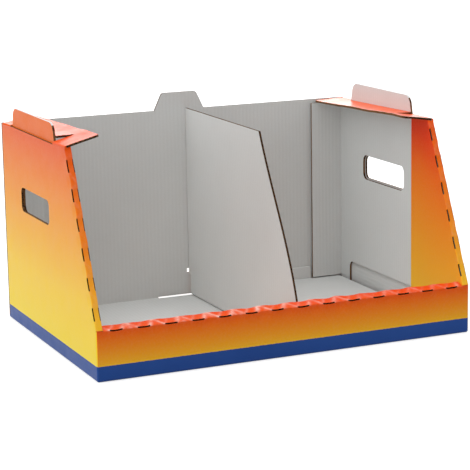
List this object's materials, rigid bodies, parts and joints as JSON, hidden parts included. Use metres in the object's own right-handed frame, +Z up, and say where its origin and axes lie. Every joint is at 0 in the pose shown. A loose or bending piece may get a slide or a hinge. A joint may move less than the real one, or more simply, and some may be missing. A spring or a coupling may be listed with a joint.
{
  "type": "display box",
  "caption": "Folded corrugated display box, low in front and high at the back, with rolled slanted sides, hand holes, stacking tabs, inner side panels and a divider.",
  "frame": {"origin": "centre of the footprint, on the surface the box stands on", "axes": "+X to the box's right as seen from its low front, +Y towards its back wall, +Z up"},
  "size_m": [0.4, 0.28, 0.2295],
  "materials": {
    "printed_board": "corrugated board with a light grey inside and a satin print outside, fading from orange-red down to yellow above a blue band at the foot",
    "plain_board": "corrugated board with matte light grey facing and brown fluting at its cut edges; the stacking tabs are printed orange outside"
  },
  "bodies": {
    "root": {"tray": "printed_board", "left_liner": "plain_board", "right_liner": "plain_board", "divider": "plain_board"}
  },
  "joints": []
}
